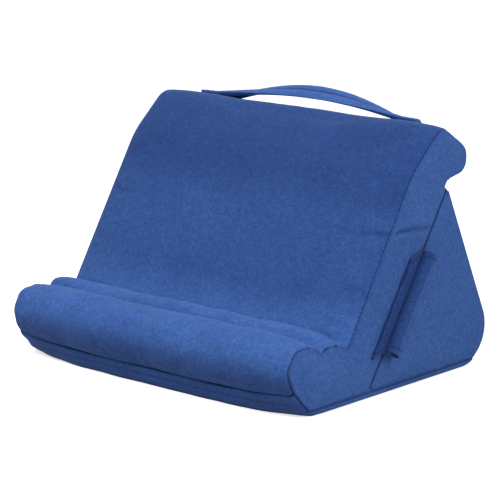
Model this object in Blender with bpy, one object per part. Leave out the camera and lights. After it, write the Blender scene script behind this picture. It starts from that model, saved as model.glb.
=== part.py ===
"""A cushion stand: two foam cushions in sewn velvet, with a leaning backrest over a groove.

The front cushion is a leaning slab whose foot carries a groove, an inner lip and a thick
roll. The rear cushion is a wedge that fills the space behind the slab. Sizes are in
millimetres and become metres when a mesh is made. X runs along the stand's width,
Y towards its back, Z up, with the origin on the floor under the middle of the stand.
"""

import math

import bmesh
import bpy

MM = 0.001

# Cloth, foam and the clearance between neighbours
CLOTH = 1.5
THIN_CLOTH = 1.0
GAP = 0.3
FOAM_GAP = 0.7

# Overall width and the way the cushions swell between their end seams
WIDTH = 278.0
CROWN_POWER = 5
STATION_COUNT = 6
EDGE_RUN = 6.0
BASE_SEAM = 4.0
ARC_STEPS = 4
REAR_ARC_STEPS = 8
BASE_STEPS = 2

# Leaning slab, measured up the crease from the floor and out in front of the crease
LEAN_DEG = 56.5
BACK_THICKNESS = 42.0
BACK_PINCH = 4.0
TOP_HEIGHT = 202.0
TOP_CROWN = 2.5
RIDGE_OUT = 30.0
RIDGE_CROWN = 3.0
SHOULDER_DROP = 44.0
SHOULDER_CROWN = 2.0
NOTCH_DROP = 32.0
NOTCH_IN = 5.5
LOBE_OVERHANG = 11.0
LOBE_HEIGHT = 13.0
HEEL_RADIUS = 20.0
CREASE_TOP_DROP = 14.0
CREASE_TOP_RADIUS = 15.0
NOTCH_RADIUS = 4.0
LOBE_RADIUS = 9.0
LOBE_TOP_SHARE = 0.25
RIDGE_RADIUS = 11.0
SHOULDER_RADIUS = 70.0

# Groove, inner lip, slot, roll and band, measured forwards from the groove and up from the floor
SEAT_HEIGHT = 39.0
LIP_SLOPE = 5.5
LIP_FLAT = 11.5
LIP_RISE = 15.0
LIP_SEAM_RISE = 7.5
SLOT_RUN = 6.0
SLOT_RISE = 4.0
ROLL_RUN = 39.0
ROLL_RISE = 17.0
ROLL_SEAM_RISE = 12.0
ROLL_FRONT_HEIGHT = 37.0
BAND_HEIGHT = 15.0
BAND_SET_BACK = 9.5
FOOT_SET_BACK = 14.0
END_TUCK = 3.0
GROOVE_RADIUS = 3.5
LIP_RADIUS = 5.5
SLOT_RADIUS = 2.0
ROLL_BACK_RUN = 8.0
ROLL_BACK_RADIUS = 9.0
ROLL_TOP_RUN = 9.5
ROLL_TOP_RADIUS = 15.0
ROLL_FRONT_RADIUS = 14.0
ROLL_UNDER_RUN = 2.5
ROLL_UNDER_HEIGHT = 22.5
ROLL_UNDER_RADIUS = 8.0
BAND_RADIUS = 1.5
FOOT_RADIUS = 8.0

# What the end seams add to the middle's sizes where the section is drawn in
SEAM_ROLL_BACK = 1.0
SEAM_ROLL_TOP = 0.5
SEAM_ROLL_TOP_RADIUS = -4.0
SEAM_ROLL_FRONT_RADIUS = -1.0
SEAM_ROLL_UNDER = 1.5
SEAM_UNDER_HEIGHT = 3.5
SEAM_BAND = -2.0
SEAM_BAND_HEIGHT = 5.0
SEAM_FOOT = 8.0
SEAM_FOOT_RADIUS = 7.0

# Rear cushion
BACK_SLOPE_DEG = 64.4
APEX_DROP = 38.0
REAR_RADIUS = 27.5
REAR_CROWN = 2.0
TOE_RADIUS = 2.0
APEX_RADIUS = 3.0

# Carry handle
HANDLE_SPAN = 212.0
HANDLE_TAB = 14.0
HANDLE_WIDTH = 18.0
HANDLE_THICKNESS = 3.2
HANDLE_RISE = 14.0
HANDLE_FORWARD = 6.0
HANDLE_LEAN = 8.0
HANDLE_TILT_DEG = 20.0
HANDLE_SEAT = 0.5
HANDLE_STEPS = 16
HANDLE_EDGE = 0.3
ARCH_POWER = 1.2

# Narrow sleeve on the right side, measured in the slab's own directions
SLEEVE_BOTTOM = 37.0
SLEEVE_LENGTH = 79.0
SLEEVE_BEHIND = 3.2
SLEEVE_WIDTH = 16.0
SLEEVE_HEIGHT = 11.0
SLEEVE_ROUND = 4.8
FLANGE_WIDTH = 9.5
FLANGE_SLANT = 1.1

# Pocket on the back slope
POCKET_WIDTH = 200.0
POCKET_START = 0.06
POCKET_END = 0.84
POCKET_MOUTH = 9.0
POCKET_STEPS = 6
POCKET_SIDE_POWER = 4
HEM_WIDTH = 10.0
FLANGE_FOLD_RADIUS = 1.2

VELVET_BLUE = (0.045, 0.11, 0.34)
VELVET_SHADE = (0.035, 0.085, 0.28)
FOAM_WHITE = (0.80, 0.79, 0.74)

HALF_WIDTH = WIDTH / 2
SKIN_END = HALF_WIDTH - CLOTH - GAP
LEAN = math.radians(LEAN_DEG)
BACK_SLOPE = math.radians(BACK_SLOPE_DEG)


def mix(seam, middle, full):
    """A size between its value at the end seams (full 0) and in the middle (full 1)."""
    return seam + (middle - seam) * full


def drawn(middle, added, full):
    """A size that has its own value in the middle and some length added at the end seams."""
    return mix(middle + added, middle, full)


def slab(up, out):
    """Point (y, z) up the crease from the floor and out in front of it."""
    y = up * math.cos(LEAN) - out * math.sin(LEAN)
    z = up * math.sin(LEAN) + out * math.cos(LEAN)
    return y, z


def crease(height):
    """Y of the crease between the two cushions at a height above the floor."""
    return height / math.tan(LEAN)


def groove_y(full):
    """Y of the groove's floor, where the backrest meets the seat."""
    out = mix(BACK_THICKNESS - BACK_PINCH, BACK_THICKNESS, full)
    return crease(SEAT_HEIGHT) - out / math.sin(LEAN)


def roll_front(full):
    """Y of the corner in front of the roll."""
    slot = groove_y(1) - LIP_SLOPE - LIP_FLAT - SLOT_RUN
    return slot - mix(ROLL_RUN - END_TUCK, ROLL_RUN, full)


# Corners of the cross-sections, as (y, z, radius), run round anticlockwise
FRONT_NAMES = ("heel", "crease_top", "notch", "lobe_under", "lobe_top", "ridge", "shoulder",
               "groove", "lip_back", "lip_front", "slot", "roll_back", "roll_top",
               "roll_front", "roll_under", "seam", "foot")
REAR_NAMES = ("toe", "rear_foot", "apex")


def front_corners(full, lift):
    """Front cushion: from the crease's foot up and over the ridge, then down to the floor."""
    groove = groove_y(full)
    lip = SEAT_HEIGHT + mix(LIP_SEAM_RISE, LIP_RISE, full)
    lip_back = groove - mix(LIP_SLOPE + END_TUCK, LIP_SLOPE, full)
    slot = groove_y(1) - LIP_SLOPE - LIP_FLAT - SLOT_RUN
    roll = SEAT_HEIGHT + mix(ROLL_SEAM_RISE, ROLL_RISE, full)
    front = roll_front(full)
    under = front + drawn(ROLL_UNDER_RUN, SEAM_ROLL_UNDER, full)
    band = front + drawn(BAND_SET_BACK, SEAM_BAND, full)
    foot = front + drawn(FOOT_SET_BACK, SEAM_FOOT, full)
    top = TOP_HEIGHT + TOP_CROWN * full
    notch = TOP_HEIGHT - NOTCH_DROP
    shoulder = BACK_THICKNESS + SHOULDER_CROWN * full
    return [
        (crease(lift), lift, HEEL_RADIUS),
        (*slab(notch - CREASE_TOP_DROP, 0.0), CREASE_TOP_RADIUS),
        (*slab(notch, NOTCH_IN), NOTCH_RADIUS),
        (*slab(TOP_HEIGHT - LOBE_HEIGHT, -LOBE_OVERHANG), LOBE_RADIUS),
        (*slab(top, -LOBE_TOP_SHARE * LOBE_OVERHANG), LOBE_RADIUS),
        (*slab(top, RIDGE_OUT + RIDGE_CROWN * full), RIDGE_RADIUS),
        (*slab(TOP_HEIGHT - SHOULDER_DROP, shoulder), SHOULDER_RADIUS),
        (groove, SEAT_HEIGHT, GROOVE_RADIUS),
        (lip_back, lip, LIP_RADIUS),
        (slot + SLOT_RUN, lip, LIP_RADIUS),
        (slot, SEAT_HEIGHT + SLOT_RISE, SLOT_RADIUS),
        (slot - drawn(ROLL_BACK_RUN, SEAM_ROLL_BACK, full), roll, ROLL_BACK_RADIUS),
        (front + drawn(ROLL_TOP_RUN, SEAM_ROLL_TOP, full), roll,
         drawn(ROLL_TOP_RADIUS, SEAM_ROLL_TOP_RADIUS, full)),
        (front, ROLL_FRONT_HEIGHT, drawn(ROLL_FRONT_RADIUS, SEAM_ROLL_FRONT_RADIUS, full)),
        (under, drawn(ROLL_UNDER_HEIGHT, SEAM_UNDER_HEIGHT, full), ROLL_UNDER_RADIUS),
        (band, drawn(BAND_HEIGHT, SEAM_BAND_HEIGHT, full), BAND_RADIUS),
        (foot, lift, drawn(FOOT_RADIUS, SEAM_FOOT_RADIUS, full)),
    ]


def rear_corners(full, lift):
    """Rear cushion: from its toe along the floor, up the back slope and down the crease."""
    apex = slab(TOP_HEIGHT - APEX_DROP, 0.0)
    foot = apex[0] + (apex[1] - lift) / math.tan(BACK_SLOPE)
    return [
        (crease(lift), lift, TOE_RADIUS),
        (foot + REAR_CROWN * full, lift, REAR_RADIUS),
        (*apex, APEX_RADIUS),
    ]


def rear_extent():
    """Y of the rearmost point, on the round rear corner in the middle of the width."""
    apex = slab(TOP_HEIGHT - APEX_DROP, 0.0)
    foot = apex[0] + apex[1] / math.tan(BACK_SLOPE) + REAR_CROWN
    angle = math.atan2(apex[1], foot - apex[0])
    return foot - REAR_RADIUS / math.tan(angle / 2) + REAR_RADIUS


SHIFT_Y = -(roll_front(1) + rear_extent()) / 2


def rounded(corners, steps=ARC_STEPS, closed=True):
    """The outline through the corners, each rounded by an arc of so many steps."""
    points = []
    count = len(corners)
    for i, (y, z, radius) in enumerate(corners):
        if not closed and i in (0, count - 1):
            points.append((y, z))
            continue
        before = corners[i - 1]
        after = corners[(i + 1) % count]
        to_before = (before[0] - y, before[1] - z)
        to_after = (after[0] - y, after[1] - z)
        len_before = math.hypot(*to_before)
        len_after = math.hypot(*to_after)
        angle_before = math.atan2(to_before[1], to_before[0])
        angle_after = math.atan2(to_after[1], to_after[0])
        opening = abs((angle_after - angle_before + math.pi) % (2 * math.pi) - math.pi)
        tangent = min(radius / math.tan(opening / 2), 0.48 * len_before, 0.48 * len_after)
        radius = tangent * math.tan(opening / 2)
        start = (y + tangent * to_before[0] / len_before, z + tangent * to_before[1] / len_before)
        end = (y + tangent * to_after[0] / len_after, z + tangent * to_after[1] / len_after)
        middle = ((start[0] + end[0]) / 2 - y, (start[1] + end[1]) / 2 - z)
        reach = radius / math.sin(opening / 2) / math.hypot(*middle)
        centre = (y + middle[0] * reach, z + middle[1] * reach)
        first = math.atan2(start[1] - centre[1], start[0] - centre[0])
        last = math.atan2(end[1] - centre[1], end[0] - centre[0])
        sweep = (last - first + math.pi) % (2 * math.pi) - math.pi
        for step in range(steps + 1):
            turn = first + sweep * step / steps
            points.append((centre[0] + radius * math.cos(turn), centre[1] + radius * math.sin(turn)))
    return points


def front_index(name, step):
    """Place in the front cushion's outline of one step of a named corner's arc."""
    return FRONT_NAMES.index(name) * (ARC_STEPS + 1) + step


def rear_index(name, step):
    """Place in the rear cushion's outline of one step of a named corner's arc."""
    return REAR_NAMES.index(name) * (REAR_ARC_STEPS + 1) + step


def offset(path, distance, closed):
    """The path moved to its left by a distance, which is inwards on an outline."""
    moved = []
    count = len(path)
    for i, (y, z) in enumerate(path):
        before = path[i - 1] if closed or i else path[i]
        after = path[(i + 1) % count] if closed or i < count - 1 else path[i]
        ahead = (after[0] - y, after[1] - z)
        behind = (y - before[0], z - before[1])
        normals = [(-v[1] / math.hypot(*v), v[0] / math.hypot(*v)) for v in (ahead, behind)
                   if math.hypot(*v) > 0]
        normal = (sum(n[0] for n in normals), sum(n[1] for n in normals))
        scale = len(normals) / (normal[0] ** 2 + normal[1] ** 2)
        moved.append((y + distance * normal[0] * scale, z + distance * normal[1] * scale))
    return moved


def shortened(path, start, end):
    """An open path with a length taken off its first and last segment."""
    path = list(path)
    for index, inner, cut in ((0, 1, start), (-1, -2, end)):
        tip, neck = path[index], path[inner]
        share = cut / math.dist(tip, neck)
        path[index] = tuple(t + (n - t) * share for t, n in zip(tip, neck))
    return path


def strip(path, thickness):
    """A closed section of cloth: the path and the same path moved to its left."""
    return list(path) + offset(path, thickness, closed=False)[::-1]


def panel_section(outline, first, last):
    """The section of one cloth panel of a cushion, from one point of its outline to another."""
    outer = outline[first:last + 1]
    inner = offset(outline, CLOTH, closed=True)[first:last + 1]
    return shortened(outer, GAP / 2, GAP / 2) + shortened(inner, GAP / 2, GAP / 2)[::-1]


def stations():
    """Places along the width where the cushions' sections are set out."""
    inner = HALF_WIDTH - EDGE_RUN
    turns = [math.pi / 2 * i / STATION_COUNT for i in range(-STATION_COUNT, STATION_COUNT + 1)]
    return [-HALF_WIDTH] + [inner * math.sin(turn) for turn in turns] + [HALF_WIDTH]


def interpolated(x, places, values):
    """Straight-line value at x between the values at the places."""
    for left, right, low, high in zip(places, places[1:], values, values[1:]):
        if x <= right:
            return low + (high - low) * (x - left) / (right - left)
    return values[-1]


STATIONS = stations()
FULLNESS = [1 - abs(x / HALF_WIDTH) ** CROWN_POWER for x in STATIONS]
LIFT = [BASE_SEAM - CLOTH if abs(x) == HALF_WIDTH else 0.0 for x in STATIONS]


def front_outline(x):
    full = interpolated(x, STATIONS, FULLNESS)
    return rounded(front_corners(full, interpolated(x, STATIONS, LIFT)))


def rear_outline(x):
    full = interpolated(x, STATIONS, FULLNESS)
    return rounded(rear_corners(full, interpolated(x, STATIONS, LIFT)), REAR_ARC_STEPS)


def placed(x, section):
    """Points of a (y, z) section at x, moved so that the stand is centred on the origin."""
    return [(x, y + SHIFT_Y, z) for y, z in section]


def velvet(name, colour):
    material = bpy.data.materials.new(name)
    material.use_nodes = True
    shader = material.node_tree.nodes["Principled BSDF"]
    shader.inputs["Base Color"].default_value = (*colour, 1.0)
    shader.inputs["Roughness"].default_value = 0.9
    shader.inputs["Metallic"].default_value = 0.0
    material.diffuse_color = (*colour, 1.0)
    return material


def lofted(name, rings, colour):
    """A closed solid: the first ring's face, extruded through every further ring."""
    bm = bmesh.new()
    start = [bm.verts.new([c * MM for c in point]) for point in rings[0]]
    face = bm.faces.new(start)
    for ring in rings[1:]:
        face = bmesh.ops.extrude_discrete_faces(bm, faces=[face])["faces"][0]
        for vert, point in zip(face.verts, ring):
            vert.co = [c * MM for c in point]
    bm.faces.new(start)
    bmesh.ops.recalc_face_normals(bm, faces=bm.faces)
    if bm.calc_volume(signed=True) < 0:
        bmesh.ops.reverse_faces(bm, faces=bm.faces)
    mesh = bpy.data.meshes.new(name)
    bm.to_mesh(mesh)
    bm.free()
    mesh.shade_smooth()
    mesh.set_sharp_from_angle(angle=math.radians(40))
    solid = bpy.data.objects.new(name, mesh)
    solid.data.materials.append(velvet(name + "_finish", colour))
    bpy.context.scene.collection.objects.link(solid)
    return solid


def across(half_width):
    """The stations inside a half width, with the half width itself at both ends."""
    inner = [x for x in STATIONS if abs(x) < half_width]
    return [-half_width] + inner + [half_width]


def front_wrap_panel():
    """One long panel from the notch behind the ridge to the seam under the roll."""
    first = front_index("notch", 1)
    last = front_index("seam", 1)
    rings = []
    for x in across(SKIN_END):
        rings.append(placed(x, panel_section(front_outline(x), first, last)))
    return lofted("front_wrap_panel", rings, VELVET_BLUE)


def front_band():
    """The low band from the roll's seam down to the underside."""
    first = front_index("seam", 1)
    last = front_index("foot", ARC_STEPS - 1)
    rings = []
    for x in across(SKIN_END):
        rings.append(placed(x, panel_section(front_outline(x), first, last)))
    return lofted("front_band", rings, VELVET_SHADE)


def base_panel():
    """The underside of both cushions, turned up at the sides to the end panels' edge."""
    rings = []
    for x in across(HALF_WIDTH):
        paths = []
        for depth in (0.0, CLOTH):
            front = offset(front_outline(x), depth, closed=True)
            rear = offset(rear_outline(x), depth, closed=True)
            path = front[front_index("foot", ARC_STEPS - 1):]
            path += rear[rear_index("rear_foot", 0):rear_index("rear_foot", BASE_STEPS + 1)]
            paths.append(shortened(path, GAP / 2, GAP / 2))
        rings.append(placed(x, paths[0] + paths[1][::-1]))
    return lofted("base_panel", rings, VELVET_SHADE)


def rear_back_panel():
    """The panel round the rear corner and up the back slope to the notch."""
    first = rear_index("rear_foot", BASE_STEPS)
    last = rear_index("apex", REAR_ARC_STEPS // 2)
    rings = []
    for x in across(SKIN_END):
        rings.append(placed(x, panel_section(rear_outline(x), first, last)))
    return lofted("rear_back_panel", rings, VELVET_BLUE)


def foam(name, outline):
    """A cushion's cut foam, a cloth's thickness and a clearance inside its cover."""
    rings = [placed(x, offset(outline(x), CLOTH + FOAM_GAP, closed=True)) for x in across(SKIN_END)]
    return lofted(name, rings, FOAM_WHITE)


def end_panel(name, corners, steps, side):
    """The flat cloth end of a cushion, with its edge rounded over the seam."""
    outline = rounded(corners(0.0, BASE_SEAM + GAP), steps)
    edge = offset(outline, GAP / 2, closed=True)
    face = offset(outline, CLOTH / 2, closed=True)
    layers = [(SKIN_END + GAP, edge), (HALF_WIDTH - CLOTH / 2, edge), (HALF_WIDTH, face)]
    return lofted(name, [placed(side * x, ring) for x, ring in layers], VELVET_BLUE)


def handle_section(x):
    """The strap's rounded section: flat on the top of the ridge at its ends, arched between."""
    full = interpolated(x, STATIONS, FULLNESS)
    corners = front_corners(full, 0.0)
    back = corners[FRONT_NAMES.index("lobe_top")]
    front = corners[FRONT_NAMES.index("ridge")]
    along = math.atan2(back[1] - front[1], back[0] - front[0])
    lift = GAP + HANDLE_THICKNESS / 2
    seat_y = mix(back[0], front[0], HANDLE_SEAT) - lift * math.sin(along)
    seat_z = mix(back[1], front[1], HANDLE_SEAT) + lift * math.cos(along)
    reach = HANDLE_SPAN / 2 - HANDLE_TAB
    spread = max(0.0, 1 - (x / reach) ** 2)
    arch = max(0.0, 1 - ((x - HANDLE_LEAN * spread) / reach) ** 2) ** ARCH_POWER
    y = seat_y - HANDLE_FORWARD * arch
    z = seat_z + HANDLE_RISE * arch
    turn = mix(along, math.radians(HANDLE_TILT_DEG), arch)
    half = HANDLE_WIDTH / 2
    thick = HANDLE_THICKNESS / 2
    edge = HANDLE_EDGE * HANDLE_THICKNESS
    shape = [(-half + edge, -thick), (half - edge, -thick), (half, -thick + edge),
             (half, thick - edge), (half - edge, thick), (-half + edge, thick),
             (-half, thick - edge), (-half, -thick + edge)]
    cos, sin = math.cos(turn), math.sin(turn)
    return placed(x, [(y + u * cos - v * sin, z + u * sin + v * cos) for u, v in shape])


def carry_handle():
    half = HANDLE_SPAN / 2
    places = [half * i / HANDLE_STEPS for i in range(-HANDLE_STEPS, HANDLE_STEPS + 1)]
    return lofted("carry_handle", [handle_section(x) for x in places], VELVET_BLUE)


def side_sleeve():
    """A folded strip: a narrow tube and a flange of both edges, sewn to the right side."""
    wall = HALF_WIDTH + GAP + THIN_CLOTH / 2
    front = SLEEVE_WIDTH / 2 - THIN_CLOTH / 2 - SLEEVE_BEHIND
    back = -SLEEVE_WIDTH / 2 + THIN_CLOTH / 2 - SLEEVE_BEHIND
    crown = wall + SLEEVE_HEIGHT - THIN_CLOTH
    layer = wall + THIN_CLOTH + GAP
    flange = front + FLANGE_WIDTH
    corners = [(flange, wall, 0.0), (back, wall, SLEEVE_ROUND), (back, crown, SLEEVE_ROUND),
               (front, crown, SLEEVE_ROUND), (front, layer, FLANGE_FOLD_RADIUS), (flange, layer, 0.0)]
    middle = rounded(corners, closed=False)
    section = offset(middle, THIN_CLOTH / 2, closed=False)
    section += offset(middle, -THIN_CLOTH / 2, closed=False)[::-1]
    rings = []
    for up in (SLEEVE_BOTTOM, SLEEVE_BOTTOM + SLEEVE_LENGTH):
        ring = []
        for out, x in section:
            slant = FLANGE_SLANT * max(0.0, out - front)
            y, z = slab(up - slant, out)
            ring.append((x, y + SHIFT_Y, z))
        rings.append(ring)
    return lofted("side_sleeve", rings, VELVET_BLUE)


def slope_point(x, share, out):
    """Point (y, z) a share of the way up the straight back slope and out from it."""
    outline = rear_outline(x)
    low = outline[rear_index("rear_foot", REAR_ARC_STEPS)]
    high = outline[rear_index("apex", 0)]
    length = math.dist(low, high)
    normal = ((high[1] - low[1]) / length, (low[0] - high[0]) / length)
    return (mix(low[0], high[0], share) + normal[0] * out,
            mix(low[1], high[1], share) + normal[1] * out)


def pocket_bulge(x, share):
    """How far the pocket stands off the slope: nothing at its seams, most at its mouth."""
    rise = (share - POCKET_START) / (POCKET_END - POCKET_START)
    return POCKET_MOUTH * (1 - (2 * x / POCKET_WIDTH) ** POCKET_SIDE_POWER) * rise ** 2


def pocket_strip(name, first, thickness, stand_off):
    """A strip of the pocket from one share of the slope to its mouth."""
    half = POCKET_WIDTH / 2
    rings = []
    for i in range(-POCKET_STEPS, POCKET_STEPS + 1):
        x = half * math.sin(math.pi / 2 * i / POCKET_STEPS)
        path = []
        for step in range(POCKET_STEPS + 1):
            share = mix(first, POCKET_END, step / POCKET_STEPS)
            path.append(slope_point(x, share, stand_off + pocket_bulge(x, share)))
        rings.append(placed(x, strip(path, thickness)))
    return lofted(name, rings, VELVET_SHADE)


def back_pocket():
    return pocket_strip("back_pocket", POCKET_START, THIN_CLOTH, GAP + THIN_CLOTH)


def pocket_hem():
    """A band sewn on the outside of the pocket's mouth."""
    outline = rear_outline(0.0)
    length = math.dist(outline[rear_index("rear_foot", REAR_ARC_STEPS)],
                       outline[rear_index("apex", 0)])
    stand_off = 2 * (GAP + THIN_CLOTH)
    return pocket_strip("pocket_hem", POCKET_END - HEM_WIDTH / length, THIN_CLOTH, stand_off)


for leftover in list(bpy.data.objects):
    bpy.data.objects.remove(leftover, do_unlink=True)

front_wrap_panel()
front_band()
base_panel()
rear_back_panel()
foam("front_foam", front_outline)
foam("rear_foam", rear_outline)
end_panel("front_end_panel_right", front_corners, ARC_STEPS, 1)
end_panel("front_end_panel_left", front_corners, ARC_STEPS, -1)
end_panel("rear_end_panel_right", rear_corners, REAR_ARC_STEPS, 1)
end_panel("rear_end_panel_left", rear_corners, REAR_ARC_STEPS, -1)
carry_handle()
side_sleeve()
back_pocket()
pocket_hem()
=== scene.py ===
import math

import bmesh
import bpy
from mathutils import Matrix, Vector, kdtree, noise


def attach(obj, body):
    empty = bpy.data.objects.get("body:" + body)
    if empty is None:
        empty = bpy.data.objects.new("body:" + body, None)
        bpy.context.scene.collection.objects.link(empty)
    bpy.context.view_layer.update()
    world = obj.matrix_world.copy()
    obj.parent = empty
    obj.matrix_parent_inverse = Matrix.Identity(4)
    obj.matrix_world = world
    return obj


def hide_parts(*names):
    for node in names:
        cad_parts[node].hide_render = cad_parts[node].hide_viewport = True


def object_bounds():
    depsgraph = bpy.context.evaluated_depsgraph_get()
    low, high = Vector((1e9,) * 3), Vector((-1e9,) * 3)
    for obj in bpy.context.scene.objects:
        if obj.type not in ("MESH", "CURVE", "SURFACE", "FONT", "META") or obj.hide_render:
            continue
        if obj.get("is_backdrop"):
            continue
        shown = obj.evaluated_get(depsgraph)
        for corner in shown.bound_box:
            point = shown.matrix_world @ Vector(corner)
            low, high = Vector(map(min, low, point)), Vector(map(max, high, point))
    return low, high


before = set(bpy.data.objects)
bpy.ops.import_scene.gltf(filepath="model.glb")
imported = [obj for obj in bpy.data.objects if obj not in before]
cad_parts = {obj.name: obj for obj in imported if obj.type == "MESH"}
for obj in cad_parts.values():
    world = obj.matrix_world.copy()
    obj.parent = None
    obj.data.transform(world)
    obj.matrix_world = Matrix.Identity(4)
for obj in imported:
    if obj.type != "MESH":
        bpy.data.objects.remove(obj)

# Millimetres are the working unit, and a mesh is made in metres
MM = 0.001
scene = bpy.context.scene
solids_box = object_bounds()


# Camera
# A long lens seen from the right of the front, looking a little down on the stand.
CAMERA_TARGET = (5.7, 0.0, 84.0)
CAMERA_DISTANCE = 1774.0
CAMERA_AZIMUTH = 41.95
CAMERA_ELEVATION = 12.68
CAMERA_ROLL = -0.21
CAMERA_LENS = 172.8
SENSOR_WIDTH = 36.0


def looking(azimuth, elevation, distance, target, roll=0.0):
    """Placement of a camera or lamp that looks at a target from an azimuth and elevation."""
    turn = (Matrix.Rotation(math.radians(azimuth), 4, "Z")
            @ Matrix.Rotation(math.radians(90.0 - elevation), 4, "X")
            @ Matrix.Rotation(math.radians(roll), 4, "Z"))
    aim = Matrix.Translation(Vector(target) * MM)
    return aim @ turn @ Matrix.Translation((0.0, 0.0, distance * MM))


camera_data = bpy.data.cameras.new("camera")
camera_data.lens = CAMERA_LENS
camera_data.sensor_width = SENSOR_WIDTH
camera_data.clip_end = 20.0
camera = bpy.data.objects.new("camera", camera_data)
camera.matrix_world = looking(CAMERA_AZIMUTH, CAMERA_ELEVATION, CAMERA_DISTANCE, CAMERA_TARGET,
                              CAMERA_ROLL)
scene.collection.objects.link(camera)
scene.camera = camera
scene.view_settings.view_transform = "Standard"


# Studio
# A white floor that keeps the stand's shadow, one large soft lamp high on the left of the
# camera, a weaker one on the right, and an even surround. The floor throws back little light,
# so what faces down stays in shade.
FLOOR_SIZE = 6000.0
KEY_LAMP = (-8.0, 58.0, 1500.0, 800.0, 15.0)
SIDE_LAMP = (88.0, 30.0, 1600.0, 1100.0, 11.0)
SURROUND_LIGHT = 0.42
FLOOR_LIFT = 0.66


def colour(code):
    """Linear red, green, blue and alpha of an sRGB hex colour."""
    parts = [int(code[i:i + 2], 16) / 255 for i in (1, 3, 5)]
    linear = [c / 12.92 if c <= 0.04045 else ((c + 0.055) / 1.055) ** 2.4 for c in parts]
    return (*linear, 1.0)


def add(tree, kind, settings=None, **inputs):
    """A shader node with its settings, its socket values and its links from other sockets.
    A socket is given by its name, or by i and its number."""
    node = tree.nodes.new(kind)
    for key, value in (settings or {}).items():
        setattr(node, key, value)
    for key, value in inputs.items():
        numbered = key[0] == "i" and key[1:].isdigit()
        socket = node.inputs[int(key[1:]) if numbered else key.replace("_", " ")]
        if isinstance(value, bpy.types.NodeSocket):
            tree.links.new(value, socket)
        else:
            socket.default_value = value
    return node


def backdrop(tree, seen, lit):
    """What the camera, a reflection and a clear piece see, laid over what lights the stand."""
    path = add(tree, "ShaderNodeLightPath").outputs
    viewed = path["Is Camera Ray"]
    for ray in ("Is Glossy Ray", "Is Transmission Ray"):
        viewed = add(tree, "ShaderNodeMath", {"operation": "MAXIMUM"}, i0=viewed, i1=path[ray]).outputs[0]
    return add(tree, "ShaderNodeMixShader", i0=viewed, i1=lit.outputs[0], i2=seen.outputs[0]).outputs[0]


def soft_lamp(name, azimuth, elevation, distance, size, watts):
    data = bpy.data.lights.new(name, "AREA")
    data.shape = "SQUARE"
    data.size = size * MM
    data.energy = watts
    lamp = bpy.data.objects.new(name, data)
    lamp.matrix_world = looking(azimuth, elevation, distance, CAMERA_TARGET)
    scene.collection.objects.link(lamp)


soft_lamp("key_lamp", *KEY_LAMP)
soft_lamp("side_lamp", *SIDE_LAMP)

world = bpy.data.worlds.new("studio")
world.use_nodes = True
scene.world = world
tree = world.node_tree
tree.nodes.clear()
seen = add(tree, "ShaderNodeBackground", Color=colour("#FFFFFF"), Strength=1.0)
lit = add(tree, "ShaderNodeBackground", Color=colour("#FFFFFF"), Strength=SURROUND_LIGHT)
add(tree, "ShaderNodeOutputWorld", Surface=backdrop(tree, seen, lit))

paper = bpy.data.materials.new("white_paper")
paper.use_nodes = True
tree = paper.node_tree
tree.nodes.clear()
matt = add(tree, "ShaderNodeBsdfDiffuse", Color=colour("#F4F4F4"))
lift = add(tree, "ShaderNodeEmission", Color=colour("#FFFFFF"), Strength=FLOOR_LIFT)
lifted = add(tree, "ShaderNodeAddShader", i0=matt.outputs[0], i1=lift.outputs[0])
dull = add(tree, "ShaderNodeBsdfDiffuse", Color=colour("#B8B8B8"))
add(tree, "ShaderNodeOutputMaterial", Surface=backdrop(tree, lifted, dull))

bm = bmesh.new()
bmesh.ops.create_grid(bm, x_segments=1, y_segments=1, size=FLOOR_SIZE * MM / 2)
floor_mesh = bpy.data.meshes.new("floor")
bm.to_mesh(floor_mesh)
bm.free()
floor_mesh.materials.append(paper)
floor = bpy.data.objects.new("floor", floor_mesh)
scene.collection.objects.link(floor)
floor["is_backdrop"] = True


# Velvet
# Every outer panel is cut from one short-pile polyester velvet, dyed blue. The pile gives a
# fine mottle, broad brushed patches that are a little lighter or darker, and a soft sheen
# where it is seen along the surface. A darker copy of its colours is painted shade, laid on
# the backrest, under the roll, on the low band and on the sleeve. Seams are darkened, partly
# as their flat-pressed pile and partly as painted shade in their grooves, and channels and
# folds are darkened with painted shade.
STANDING_PILE = ("#29448A", "#3A5D9E", "#4F78BC")
# Painted shade: a darker copy of the pile's colours
PAINTED_SHADE_PILE = ("#142655", "#1D386F", "#2B4A8C")
# Painted shade of seams, channels and folds, partly the seams' flat-pressed pile
SEAM_PAINTED_SHADE = "#121E45"
NAP_GRAIN = 1.2
NAP_CLUMP = 4.0
BRUSHED_PATCH = 55.0
PILE_DEPTH = 0.3


def pile_shades(tree, spread, codes):
    """The mottle of a pile, from its deepest shade to its lightest."""
    ramp = add(tree, "ShaderNodeValToRGB", Fac=spread)
    ramp.color_ramp.elements[0].color = colour(codes[0])
    ramp.color_ramp.elements[1].color = colour(codes[2])
    ramp.color_ramp.elements.new(0.5).color = colour(codes[1])
    return ramp.outputs["Color"]


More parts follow.
